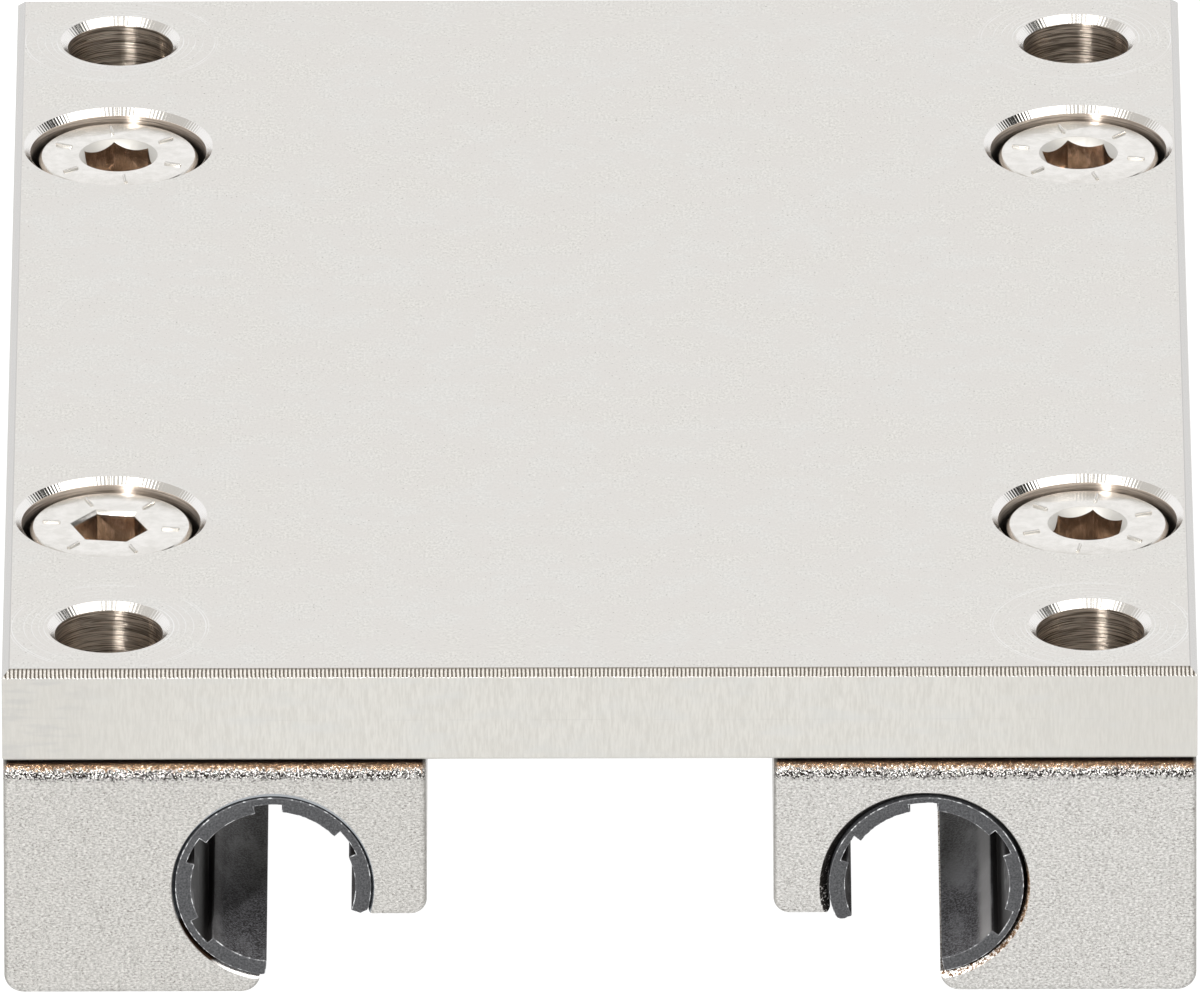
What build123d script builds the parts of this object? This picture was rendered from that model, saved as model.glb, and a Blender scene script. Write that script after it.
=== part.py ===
from build123d import *
import os
from math import cos, hypot, radians, sin, tan

# Linear guide carriage for a rail with two shafts: a flat plate, four cast bearing housings
# screwed up against it, and in each housing a slotted plastic liner that runs on a shaft.
# Millimetres. X runs across the carriage, Y along the shafts, Z up. The origin is on the
# surface that the housings stand on, under the middle of the plate.

# The rail that the carriage runs on
shaft_spacing = 40.0
shaft_diameter = 10.0

# Top plate, milled all over
plate_length = 100.0
plate_edge_chamfer = 0.45
plate_deburr = 0.15
plate_under_screw_head = 1.4
plate_land_beside_screw = 0.15

# Threads, and the plain holes for them in the plate. Each housing has two threads in a row:
# the inner one takes the screw from the plate, and the outer one a bolt that holds the load.
thread_diameter = 6.0
thread_pitch = 16.0
thread_mouth_chamfer = 0.4
thread_play = 0.04
plate_hole_clearance = 0.6
load_hole_chamfer = 0.45

# Low-head socket screws, sunk in the plate
screw_length = 12.0
screw_head_diameter = 10.0
screw_head_height = 4.0
screw_head_chamfer = 0.27
screw_end_chamfer = 0.8
screw_head_sink = 0.6
screw_head_side_gap = 0.5
counterbore_chamfer = 0.4
socket_across_flats = 4.0
socket_depth = 2.2
socket_lead_in = 0.15
socket_turns = {"front_left": 52.0, "front_right": 21.0, "rear_left": 37.0, "rear_right": 46.0}

# Bearing housings, cast, one at each corner
housing_end_inset = 1.0
housing_draft = 0.15
thread_to_housing_end = 5.5
thread_to_seat_wall = 0.98
roof_thickness = 2.98
lip_thickness = 1.18
lip_setback = 0.82
arm_wall = 3.38
arm_below_shaft = 1.95
foot_corner_radius = 1.2
arm_corner_radius = 1.0
arm_root_radius = 0.4
top_end_radius = 1.7
cast_edge_radius = 0.35

# The mouths of the seats are flared by this much, and sit a little off the seat's middle: each
# pair says how far towards the middle of the carriage, and how far up
seat_mouth = {"held": 0.2, "floating": 0.3}
mouth_shift = {"held": (-0.04, -0.1), "floating": (0.17, -0.08)}

# Plastic liners as long as the housings, each an open ring of five pads with grooves between them
liner_shaft_gap = 0.03
liner_wall = 0.89
liner_groove_depth = 0.5
liner_pad_count = 5
liner_pad_angle = 42.0
liner_groove_angle = 18.5
liner_tip_chamfer = 0.35
liner_tip_radius = 0.42
liner_heel_radius = 0.15

# Where the first pad starts, counted from the inward direction. A liner that floats is loose
# enough to hang turned a little further down than one that is held.
pad_start = {"held": -18.8, "floating": -24.2}

# A round pip on top of each liner sits in a hole in its housing and stops it sliding out
pip_diameter = 3.0
pip_height = 1.2
pip_root = 0.3
pip_gap = 0.15

# The left liners are held. The right ones float across the carriage in an oval seat, which
# takes up the error of a rail whose shafts aren't quite parallel.
seat_gap = 0.1
float_inward = 0.1
float_outward = 0.15

# Radii about a shaft, and heights
pad_radius = shaft_diameter / 2 + liner_shaft_gap
groove_radius = pad_radius + liner_groove_depth
liner_radius = pad_radius + liner_wall
seat_radius = liner_radius + seat_gap
shaft_height = lip_thickness + seat_radius
housing_height = shaft_height + seat_radius + roof_thickness
counterbore_depth = screw_head_height + screw_head_sink
plate_thickness = plate_under_screw_head + counterbore_depth
plate_top = housing_height + plate_thickness

# Places across the carriage, as distances from its middle or from a shaft
thread_radius = thread_diameter / 2
thread_from_shaft = seat_radius + thread_to_seat_wall + thread_radius
thread_x = shaft_spacing / 2 + thread_from_shaft
plate_hole_radius = thread_radius + plate_hole_clearance / 2
counterbore_radius = screw_head_diameter / 2 + screw_head_side_gap
counterbore_rim = counterbore_radius + counterbore_chamfer
thread_to_side = counterbore_rim + plate_land_beside_screw + plate_edge_chamfer
plate_width = 2 * (thread_x + thread_to_side)
foot_reach = thread_from_shaft + thread_to_side
arm_reach = seat_radius + arm_wall

# Places along the carriage, as distances from its middle
housing_end = plate_length / 2 - housing_end_inset
load_hole_y = housing_end - thread_to_housing_end
screw_y = load_hole_y - thread_pitch
housing_y = (load_hole_y + screw_y) / 2
housing_length = 2 * (housing_end - housing_y)

SIDES = {"left": -1, "right": 1}
ENDS = {"front": -1, "rear": 1}
SEATS = {"left": "held", "right": "floating"}

os.makedirs("parts", exist_ok=True)


def finish(piece, name):
    """Labels a finished piece and writes it."""
    piece.part.label = name
    export_step(piece.part, f"parts/{name}.step")


def shaft_section(side, end):
    """The plane across a shaft at the middle of a housing: its x points inward and its y up."""
    return Plane(
        origin=(side * shaft_spacing / 2, end * housing_y, shaft_height),
        x_dir=(-side, 0, 0),
        z_dir=(0, side, 0),
    )


def polar(radius, angle):
    """A point in that plane, from its radius and its angle above the inward direction."""
    return (radius * cos(radians(angle)), radius * sin(radians(angle)))


def nearest(vertices, place):
    """The vertex of a sketch that is nearest to a place in its plane."""
    return vertices.sort_by_distance(Vector(*place))[0]


# The plate that the load is bolted to
with BuildPart() as top_plate:
    with BuildSketch(Plane.XY.offset(housing_height)):
        Rectangle(plate_width, plate_length)
    extrude(amount=plate_thickness)
    chamfer(top_plate.edges().group_by(Axis.Z)[-1], plate_edge_chamfer)
    chamfer(top_plate.edges().group_by(Axis.Z)[0], plate_deburr)
    with Locations(Plane.XY.offset(plate_top)):
        with GridLocations(2 * thread_x, 2 * screw_y, 2, 2):
            CounterBoreHole(plate_hole_radius, counterbore_radius, counterbore_depth)
    chamfer(
        top_plate.faces().sort_by(Axis.Z)[-1].edges().filter_by(GeomType.CIRCLE),
        counterbore_chamfer,
    )
    with Locations(Plane.XY.offset(plate_top)):
        with GridLocations(2 * thread_x, 2 * load_hole_y, 2, 2):
            CounterSinkHole(
                plate_hole_radius,
                plate_hole_radius + load_hole_chamfer,
                counter_sink_angle=90,
            )
finish(top_plate, "top_plate")


def draw_seat(seat, margin=0.0):
    """Draws the outline of a liner's seat: round, or an oval that is longer towards the middle."""
    if seat == "held":
        Circle(seat_radius + margin)
    else:
        with Locations(((float_inward - float_outward) / 2, 0)):
            SlotCenterToCenter(float_inward + float_outward, 2 * (seat_radius + margin))


def make_housing(side_name, end_name):
    """A housing: a foot outside the shaft with two threads in it, a roof and arm, and a lip below."""
    side, end, seat = SIDES[side_name], ENDS[end_name], SEATS[side_name]
    section = shaft_section(side, end)
    roof = seat_radius + roof_thickness
    foot = -shaft_height
    lean = tan(radians(housing_draft))

    with BuildPart() as housing:
        # The outside of the casting, with a large radius over the ends of the roof
        with BuildSketch(section) as outline:
            Polygon(
                (-foot_reach, foot),
                (-lip_setback, foot),
                (-lip_setback, -arm_below_shaft),
                (arm_reach, -arm_below_shaft),
                (arm_reach - lean * (roof + arm_below_shaft), roof),
                (-foot_reach + lean * (roof - foot), roof),
                align=None,
            )
            for corner, radius in (
                ((-foot_reach, foot), foot_corner_radius),
                ((-lip_setback, foot), lip_thickness),
                ((arm_reach, -arm_below_shaft), arm_corner_radius),
            ):
                fillet(nearest(outline.vertices(), corner), radius)
        extrude(amount=housing_length / 2, both=True)
        roof_face = housing.faces().sort_by(Axis.Z)[-1]
        fillet(roof_face.edges().filter_by(Axis.X), top_end_radius)
        fillet(housing.faces().filter_by(Axis.Y).edges(), cast_edge_radius)

        # The seat, with the arm's root rounded beside it and its mouths eased at both ends
        with BuildSketch(section) as opened:
            add(outline.sketch_local)
            with BuildSketch(mode=Mode.SUBTRACT):
                draw_seat(seat)
            arm_root = (seat_radius, -arm_below_shaft)
            fillet(nearest(opened.vertices(), arm_root), arm_root_radius)
        extrude(amount=housing_length / 2, both=True, mode=Mode.INTERSECT)
        mouth_depth = seat_mouth[seat] + hypot(*mouth_shift[seat])
        for direction in (1, -1):
            with BuildSketch(section.offset(direction * housing_length / 2)):
                with Locations(mouth_shift[seat]):
                    draw_seat(seat, seat_mouth[seat])
            extrude(amount=-direction * mouth_depth, taper=45, mode=Mode.SUBTRACT)

        # Two threads, drawn at their nominal diameter, run right through the foot
        with Locations(
            (side * thread_x, end * screw_y, housing_height),
            (side * thread_x, end * load_hole_y, housing_height),
        ):
            Hole(thread_radius)
        mouths = housing.faces().sort_by(Axis.Z)[0].edges().filter_by(GeomType.CIRCLE)
        chamfer(mouths, thread_mouth_chamfer)

        # The hole that the liner's pip sits in, an oval where the liner floats
        pip_hole_radius = pip_diameter / 2 + pip_gap
        with BuildSketch(Plane((side * shaft_spacing / 2, end * housing_y, housing_height))):
            if seat == "held":
                Circle(pip_hole_radius)
            else:
                with Locations((-side * (float_inward - float_outward) / 2, 0)):
                    SlotCenterToCenter(float_inward + float_outward, 2 * pip_hole_radius)
        extrude(amount=-(roof_thickness + seat_radius), mode=Mode.SUBTRACT)
    finish(housing, f"{end_name}_{side_name}_housing")


def make_liner(side_name, end_name):
    """A liner: five running pads joined by thin webs, open below towards the rail."""
    side, end, seat = SIDES[side_name], ENDS[end_name], SEATS[side_name]
    step = liner_pad_angle + liner_groove_angle
    start = pad_start[seat]
    stop = start + liner_pad_count * step - liner_groove_angle
    beyond = 2 * liner_radius

    with BuildPart() as liner:
        with BuildSketch(shaft_section(side, end)) as ring:
            Circle(liner_radius)
            Circle(pad_radius, mode=Mode.SUBTRACT)
            with BuildSketch(mode=Mode.SUBTRACT):
                for number in range(liner_pad_count - 1):
                    groove_start = start + number * step + liner_pad_angle
                    Polygon(
                        (0, 0),
                        polar(beyond, groove_start),
                        polar(beyond, groove_start + liner_groove_angle),
                        align=None,
                    )
                Circle(groove_radius, mode=Mode.INTERSECT)
            Polygon(
                (0, 0),
                polar(beyond, stop),
                polar(beyond, start + 360),
                align=None,
                mode=Mode.SUBTRACT,
            )
            if seat == "held":
                chamfer(nearest(ring.vertices(), polar(liner_radius, start)), liner_tip_chamfer)
            else:
                for radius in (liner_radius, pad_radius):
                    fillet(nearest(ring.vertices(), polar(radius, start)), liner_tip_radius)
            fillet(nearest(ring.vertices(), polar(liner_radius, stop)), liner_heel_radius)
        extrude(amount=housing_length / 2, both=True)
        with BuildSketch(Plane.XY.offset(shaft_height + liner_radius - pip_root)):
            with Locations((side * shaft_spacing / 2, end * housing_y)):
                Circle(pip_diameter / 2)
        extrude(amount=pip_root + pip_height)
    finish(liner, f"{end_name}_{side_name}_liner")


def make_screw(side_name, end_name):
    """A low-head screw, seated in its counterbore and turned as it was when it came up tight."""
    x, y = SIDES[side_name] * thread_x, ENDS[end_name] * screw_y
    seat_height = plate_top - counterbore_depth
    socket_corner = socket_across_flats / 2 / cos(radians(30))
    mouth = socket_corner + socket_lead_in

    with BuildPart() as screw:
        with BuildSketch(Plane((x, y, seat_height))):
            Circle(screw_head_diameter / 2)
        extrude(amount=screw_head_height)
        chamfer(screw.edges().group_by(Axis.Z)[-1], screw_head_chamfer)
        with BuildSketch(Plane((x, y, seat_height))):
            Circle(thread_radius - thread_play)
        extrude(amount=-screw_length)
        chamfer(screw.edges().group_by(Axis.Z)[0], screw_end_chamfer)
        head_top = Plane((x, y, seat_height + screw_head_height))
        with BuildSketch(head_top):
            RegularPolygon(
                socket_corner, 6, rotation=socket_turns[f"{end_name}_{side_name}"]
            )
        extrude(amount=-socket_depth, mode=Mode.SUBTRACT)
        with Locations(head_top):
            Cone(
                socket_across_flats / 2,
                mouth,
                mouth - socket_across_flats / 2,
                align=(Align.CENTER, Align.CENTER, Align.MAX),
                mode=Mode.SUBTRACT,
            )
    finish(screw, f"{end_name}_{side_name}_screw")


for end_name in ENDS:
    for side_name in SIDES:
        make_housing(side_name, end_name)
        make_liner(side_name, end_name)
        make_screw(side_name, end_name)
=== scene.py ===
import bpy
import bmesh
from math import cos, pi, radians, sin
from mathutils import Matrix, Vector


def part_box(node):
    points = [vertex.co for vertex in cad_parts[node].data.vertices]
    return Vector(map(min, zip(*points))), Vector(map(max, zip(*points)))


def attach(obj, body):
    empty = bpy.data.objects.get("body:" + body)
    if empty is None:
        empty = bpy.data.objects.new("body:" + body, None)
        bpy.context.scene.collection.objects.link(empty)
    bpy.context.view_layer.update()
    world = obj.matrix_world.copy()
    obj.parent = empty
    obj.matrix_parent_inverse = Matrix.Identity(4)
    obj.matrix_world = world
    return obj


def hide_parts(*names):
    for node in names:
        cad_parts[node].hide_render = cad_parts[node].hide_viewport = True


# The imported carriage, and its box before any piece is dressed
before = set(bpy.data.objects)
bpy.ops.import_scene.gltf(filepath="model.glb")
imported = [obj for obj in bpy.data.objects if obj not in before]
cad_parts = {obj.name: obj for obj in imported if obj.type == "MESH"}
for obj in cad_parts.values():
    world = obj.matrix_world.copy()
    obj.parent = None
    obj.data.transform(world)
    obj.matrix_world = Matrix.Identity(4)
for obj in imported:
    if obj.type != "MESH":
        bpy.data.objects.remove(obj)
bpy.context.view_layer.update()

# The camera stands square to the plate's front edge and looks down on it from 24.9 degrees,
# through a lens so long that the plate's sides stay nearly parallel, as in the photograph.
mm = 0.001
lens, sensor = 1420.0, 36.0
elevation, roll = radians(24.86), radians(0.14)
aim = Vector((0.05, 0, 10.71)) * mm
distance = 2938 * mm
forward = Vector((0, cos(elevation), -sin(elevation)))
level_up = Vector((0, sin(elevation), cos(elevation)))
rightward = Vector((1, 0, 0)) * cos(roll) - level_up * sin(roll)
upward = level_up * cos(roll) + Vector((1, 0, 0)) * sin(roll)
camera_turn = Matrix((rightward, upward, -forward)).transposed().to_4x4()
camera_data = bpy.data.cameras.new("camera")
camera_data.lens = lens
camera_data.sensor_width = sensor
camera_data.clip_start = 0.1
camera_data.clip_end = 20
camera = bpy.data.objects.new("camera", camera_data)
camera.matrix_world = Matrix.Translation(aim - forward * distance) @ camera_turn
bpy.context.scene.collection.objects.link(camera)
bpy.context.scene.camera = camera
bpy.context.scene.view_settings.view_transform = "Standard"
bpy.context.scene.view_settings.look = "None"

# The studio: white walls round a light table, under a grey ceiling with one black flag high on
# the right, so that the turned edges of the holes have something to show.


def sums(tree, operation, first, second=None, third=None):
    """One step of arithmetic on sockets or numbers."""
    node = tree.nodes.new("ShaderNodeMath")
    node.operation = operation
    for socket, value in zip(node.inputs, (first, second, third)):
        if isinstance(value, bpy.types.NodeSocket):
            tree.links.new(value, socket)
        elif value is not None:
            socket.default_value = value
    return node.outputs[0]


def times(tree, first, second):
    return sums(tree, "MULTIPLY", first, second)


def plus(tree, first, second):
    return sums(tree, "ADD", first, second)


def minus(tree, first, second):
    return sums(tree, "SUBTRACT", first, second)


def part(tree, vector, axis):
    """The X, Y or Z of a vector."""
    node = tree.nodes.new("ShaderNodeSeparateXYZ")
    tree.links.new(vector, node.inputs[0])
    return node.outputs[axis]


def fade(tree, value, start, end, low=0.0, high=1.0):
    """Goes smoothly from low to high while value goes from start to end."""
    node = tree.nodes.new("ShaderNodeMapRange")
    node.interpolation_type = "SMOOTHSTEP"
    for socket, number in zip(list(node.inputs)[1:5], (start, end, low, high)):
        socket.default_value = number
    tree.links.new(value, node.inputs["Value"])
    return node.outputs["Result"]


def blend(tree, factor, first, second):
    """A colour between two, each a colour or a socket."""
    node = tree.nodes.new("ShaderNodeMix")
    node.data_type = "RGBA"
    tree.links.new(factor, node.inputs["Factor"])
    for socket, colour in ((node.inputs["A"], first), (node.inputs["B"], second)):
        if isinstance(colour, bpy.types.NodeSocket):
            tree.links.new(colour, socket)
        else:
            socket.default_value = (*colour, 1)
    return node.outputs["Result"]


world = bpy.data.worlds.new("studio")
bpy.context.scene.world = world
world.use_nodes = True
tree = world.node_tree
gaze = tree.nodes.new("ShaderNodeTexCoord").outputs["Generated"]
behind = sums(tree, "MAXIMUM", part(tree, gaze, "Y"), 0)
slope = sums(tree, "MULTIPLY_ADD", behind, -0.45, part(tree, gaze, "Z"))
walls = blend(tree, fade(tree, slope, 0.30, 0.42), (1.06, 1.06, 1.07), (0.66, 0.64, 0.61))
toward_flag = tree.nodes.new("ShaderNodeVectorMath")
toward_flag.operation = "DOT_PRODUCT"
toward_flag.inputs[1].default_value = (0.74, 0.18, 0.65)
tree.links.new(gaze, toward_flag.inputs[0])
flag = fade(tree, toward_flag.outputs["Value"], 0.968, 0.988)
surroundings = blend(tree, flag, walls, (0.02, 0.019, 0.017))
tree.links.new(surroundings, tree.nodes["Background"].inputs["Color"])


def lamp(name, width, depth, radiance):
    """A rectangular light, facing down, that the camera doesn't see."""
    light = bpy.data.lights.new(name, "AREA")
    light.shape = "RECTANGLE"
    light.size, light.size_y = width, depth
    light.energy = radiance * pi * light.size * light.size_y
    box = bpy.data.objects.new(name, light)
    box.visible_camera = False
    bpy.context.scene.collection.objects.link(box)
    return box


# Three softboxes side by side over the plate, a metre up, with dark gaps between them
softbox_height, softbox_front, softbox_back = 1.0, -0.95, 0.25
for number, (left, right) in enumerate(((0.12, 0.9), (-0.33, -0.17), (-0.60, -0.36))):
    softbox = lamp(f"softbox_{number}", right - left, softbox_back - softbox_front, radiance=1.8)
    softbox.data.color = (1, 0.99, 0.97)
    softbox.location = ((left + right) / 2, (softbox_front + softbox_back) / 2, softbox_height)

# A narrow strip on the left, which draws the bright line down each drilled wall
strip = lamp("strip", width=0.036, depth=0.35, radiance=185)
strip.location = (-0.33, -0.80, 0.50)
strip.rotation_euler = Vector(strip.location).to_track_quat("Z", "Y").to_euler()

# The light table: a large sheet of opal acrylic that glows a little of its own
table_data = bpy.data.meshes.new("light_table")
table_data.from_pydata([(-8, -8, 0), (8, -8, 0), (8, 8, 0), (-8, 8, 0)], [], [(0, 1, 2, 3)])
opal = bpy.data.materials.new("opal_acrylic")
opal.use_nodes = True
opal_shader = opal.node_tree.nodes["Principled BSDF"]
opal_shader.inputs["Base Color"].default_value = (0.12, 0.12, 0.12, 1)
opal_shader.inputs["Roughness"].default_value = 0.9
opal_shader.inputs["Specular IOR Level"].default_value = 0.1
opal_shader.inputs["Emission Color"].default_value = (1, 1, 1, 1)
opal_shader.inputs["Emission Strength"].default_value = 1.0
table_data.materials.append(opal)
table = bpy.data.objects.new("light_table", table_data)
bpy.context.scene.collection.objects.link(table)

# The top plate is a block of stainless steel, milled and fine-ground on top, with its front and
# back edges chamfered by a cutter that chattered. Each corner has a plain hole for the load's
# bolt, and a counterbore for the low head of the screw that holds its bearing housing.
plate_low, plate_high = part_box("top_plate")
half_width, half_length, plate_thickness = plate_high.x, plate_high.y, 6 * mm
edge_chamfer, deburr, edge_break = 0.45 * mm, 0.15 * mm, 0.04 * mm
hole_x, load_hole_y, screw_y = 30 * mm, 43.5 * mm, 27.5 * mm
hole_radius, load_rim, counterbore_radius, counterbore_rim = (
    3.3 * mm, 3.75 * mm, 5.5 * mm, 5.9 * mm
)
counterbore_depth = 4.6 * mm
hole_sides = 160


def steel(name, roughness, colour=None):
    """A bare metal finish, with the parts of its node tree that patterns are joined to."""
    material = bpy.data.materials.new(name)
    material.use_nodes = True
    tree = material.node_tree
    shader = tree.nodes["Principled BSDF"]
    shader.inputs["Metallic"].default_value = 1
    shader.inputs["Roughness"].default_value = roughness
    if colour:
        shader.inputs["Base Color"].default_value = (*colour, 1)
    place = tree.nodes.new("ShaderNodeTexCoord").outputs["Object"]
    return material, tree, shader, place


def grain(tree, place, size, detail=2.0, stretch=(1, 1, 1), rough=0.5):
    """A noise whose grains are about this size, in metres, longer where stretch is over 1."""
    mapping = tree.nodes.new("ShaderNodeMapping")
    mapping.inputs["Scale"].default_value = [1 / (size * s) for s in stretch]
    tree.links.new(place, mapping.inputs["Vector"])
    noise = tree.nodes.new("ShaderNodeTexNoise")
    noise.inputs["Scale"].default_value = 1
    noise.inputs["Detail"].default_value = detail
    noise.inputs["Roughness"].default_value = rough
    tree.links.new(mapping.outputs["Vector"], noise.inputs["Vector"])
    return noise.outputs["Fac"]


def relief(tree, height, depth, below=None):
    """The normal of a surface whose hollows and grains are this deep, in metres."""
    node = tree.nodes.new("ShaderNodeBump")
    node.inputs["Distance"].default_value = depth
    tree.links.new(height, node.inputs["Height"])
    if below is not None:
        tree.links.new(below, node.inputs["Normal"])
    return node.outputs["Normal"]


def reach(tree, across, along):
    """The distance from an axis, given how far across and along from it."""
    return sums(tree, "SQRT", plus(tree, times(tree, across, across), times(tree, along, along)))


def from_hole(tree, place, hole_y):
    """Across and along from the middle of the nearest of four holes, and the distance."""
    across = minus(tree, sums(tree, "ABSOLUTE", part(tree, place, "X")), hole_x)
    along = minus(tree, sums(tree, "ABSOLUTE", part(tree, place, "Y")), hole_y)
    return across, along, reach(tree, across, along)


# The ground top: faintly mottled, with pin-prick specks, and with thin bright circles round the
# load holes where the countersink's stop rubbed.
ground_top, tree, shader, place = steel("ground_top", roughness=0.34)
mottle = grain(tree, place, 0.15 * mm, detail=4, rough=0.7, stretch=(1, 1.7, 1))
clouds = grain(tree, place, 6 * mm, detail=4, rough=0.55)
tone = blend(tree, fade(tree, mottle, 0.25, 0.75), (0.60, 0.585, 0.548), (0.852, 0.835, 0.795))
tone = blend(tree, fade(tree, clouds, 0.35, 0.65, 0, 0.35), tone, (0.735, 0.735, 0.72))
smoother = grain(tree, place, 2.2 * mm, detail=4, rough=0.6)
tone = blend(tree, fade(tree, smoother, 0.42, 0.58, 0, 0.7), tone, (0.722, 0.70, 0.667))
glints = grain(tree, place, 0.3 * mm, detail=2, stretch=(1, 2.2, 1))
tone = blend(tree, fade(tree, glints, 0.62, 0.82, 0, 0.6), tone, (0.88, 0.865, 0.825))
specks = fade(tree, grain(tree, place, 0.15 * mm, detail=1), 0.705, 0.76)
tone = blend(tree, specks, tone, (0.36, 0.34, 0.31))
radius = from_hole(tree, place, load_hole_y)[2]
rubbed = None
for ring, width in ((3.98 * mm, 0.05 * mm), (4.3 * mm, 0.025 * mm), (4.72 * mm, 0.03 * mm),
                    (5.2 * mm, 0.025 * mm), (5.95 * mm, 0.045 * mm), (6.12 * mm, 0.03 * mm)):
    off = sums(tree, "ABSOLUTE", minus(tree, radius, ring))
    line = fade(tree, off, 0, width, 1, 0)
    rubbed = line if rubbed is None else sums(tree, "MAXIMUM", rubbed, line)
patchy = fade(tree, grain(tree, place, 3.5 * mm, detail=2), 0.38, 0.62, 0.1, 0.8)
tone = blend(tree, times(tree, rubbed, patchy), tone, (0.93, 0.93, 0.93))
tree.links.new(tone, shader.inputs["Base Color"])
fine = grain(tree, place, 0.16 * mm, detail=3, stretch=(1, 1.8, 1))
tree.links.new(relief(tree, fine, 0.004 * mm), shader.inputs["Normal"])

# The sawn and milled sides, with faint upright strokes and one witness line below the middle
milled_side, tree, shader, place = steel("milled_side", roughness=0.36)
strokes = grain(tree, place, 0.13 * mm, detail=4, stretch=(1, 1, 7), rough=0.6)
smudges = grain(tree, place, 1.6 * mm, detail=4, stretch=(2.0, 2.0, 0.6), rough=0.6)
tone = blend(tree, fade(tree, strokes, 0.3, 0.7), (0.55, 0.536, 0.50), (0.632, 0.618, 0.58))
tone = blend(tree, fade(tree, smudges, 0.45, 0.75, 0, 0.6), tone, (0.58, 0.58, 0.56))
x = part(tree, place, "X")
witness_height = 2.7 * mm
above_line = minus(tree, part(tree, place, "Z"), plate_low.z + witness_height)
from_line = sums(tree, "ABSOLUTE", above_line)
worn = fade(tree, grain(tree, place, 1.3 * mm), 0.4, 0.6, 0, 0.35)
witness = times(tree, fade(tree, from_line, 0, 0.06 * mm, 1, 0), worn)
tone = blend(tree, witness, tone, (0.50, 0.49, 0.47))
toward_ends = fade(tree, sums(tree, "ABSOLUTE", x), 20 * mm, 35 * mm, 0, 0.5)
tone = blend(tree, toward_ends, tone, (0.545, 0.53, 0.495))
left_end = fade(tree, x, -half_width + 2 * mm, -half_width + 8 * mm, 0.5, 0)
wiped = fade(tree, grain(tree, place, 0.5 * mm, detail=3, stretch=(5, 5, 1)), 0.45, 0.65)
tone = blend(tree, times(tree, wiped, left_end), tone, (0.48, 0.475, 0.46))
tree.links.new(tone, shader.inputs["Base Color"])
tree.links.new(relief(tree, strokes, 0.006 * mm), shader.inputs["Normal"])

# The front and back chamfers, with the cutter's chatter across them every quarter of a millimetre. The
# chatter's dark bars are painted reflection, and a dark line runs along the top edge
chattered, tree, shader, place = steel("chattered_chamfer", roughness=0.35)
chatter_pitch = 0.25 * mm
wander = times(tree, grain(tree, place, 2.2 * mm), 3.2)
phase = plus(tree, times(tree, part(tree, place, "X"), 2 * pi / chatter_pitch), wander)
teeth = sums(tree, "SINE", phase)
ragged = plus(tree, teeth, times(tree, grain(tree, place, 0.07 * mm, detail=2), 2.2))
# Painted reflection: dark bars along the chatter, with a dark line along the top edge
dark = fade(tree, ragged, 0.8, 1.4)
top_line = fade(tree, part(tree, place, "Z"), plate_high.z - 0.10 * mm, plate_high.z - 0.05 * mm)
dark = sums(tree, "MAXIMUM", dark, times(tree, top_line, 0.45))
tone = blend(tree, dark, (0.52, 0.50, 0.47), (0.10, 0.088, 0.075))
tree.links.new(tone, shader.inputs["Base Color"])
tree.links.new(relief(tree, teeth, 0.006 * mm), shader.inputs["Normal"])

# The side chamfers, cut clean
clean_chamfer, tree, shader, place = steel("clean_chamfer", 0.22, (0.53, 0.52, 0.505))
strokes = grain(tree, place, 0.3 * mm, detail=3, stretch=(1, 8, 1))
tree.links.new(relief(tree, strokes, 0.004 * mm), shader.inputs["Normal"])


def turned_edge(name, hole_y, teeth_round, gloss, chatter_depth):
    """A countersunk rim: bright, with fine radial chatter and a few turned lines round it."""
    material, tree, shader, place = steel(name, gloss, (0.83, 0.815, 0.79))
    across, along, radius = from_hole(tree, place, hole_y)
    angle = sums(tree, "ARCTAN2", along, across)
    wander = times(tree, grain(tree, place, 2.5 * mm), 2.0)
    chatter = sums(tree, "SINE", plus(tree, times(tree, angle, teeth_round), wander))
    lines = grain(tree, place, 0.07 * mm, detail=1, stretch=(40, 40, 1))
    tree.links.new(
        relief(tree, lines, 0.003 * mm, relief(tree, chatter, chatter_depth)), shader.inputs["Normal"]
    )
    return material


load_chamfer = turned_edge("load_hole_chamfer", load_hole_y, 90, 0.21, 0.003 * mm)
counterbore_chamfer = turned_edge("counterbore_chamfer", screw_y, 150, 0.13, 0.0032 * mm)


def bored(name, low, high, ring_size):
    """The wall of a hole: brown, with the tool's feed marks round it, and painted highlight lines along
    some of them.
    """
    material, tree, shader, place = steel(name, roughness=0.30)
    shader.inputs["Anisotropic"].default_value = 1.0
    along_bore = tree.nodes.new("ShaderNodeCombineXYZ")
    along_bore.inputs["Z"].default_value = 1
    tree.links.new(along_bore.outputs["Vector"], shader.inputs["Tangent"])
    feed = grain(tree, place, ring_size, detail=2, stretch=(40, 40, 1), rough=0.75)
    scores = grain(tree, place, 0.16 * mm, detail=2, stretch=(16, 16, 1))
    tree.links.new(
        relief(tree, feed, 0.026 * mm, relief(tree, scores, 0.012 * mm)), shader.inputs["Normal"]
    )
    tone = blend(tree, fade(tree, feed, 0.36, 0.64), low, high)
    # Painted highlight: thin bright lines along some of the feed marks
    painted_bright_lines = grain(tree, place, ring_size * 0.8, detail=1, stretch=(45, 45, 1))
    tone = blend(tree, fade(tree, painted_bright_lines, 0.66, 0.72), tone, (0.92, 0.84, 0.72))
    return material, tree, shader, place, tone


drilled, tree, shader, place, tone = bored(
    "drilled_wall", (0.15, 0.124, 0.098), (0.69, 0.59, 0.50), 0.07 * mm
)
tree.links.new(tone, shader.inputs["Base Color"])
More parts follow.
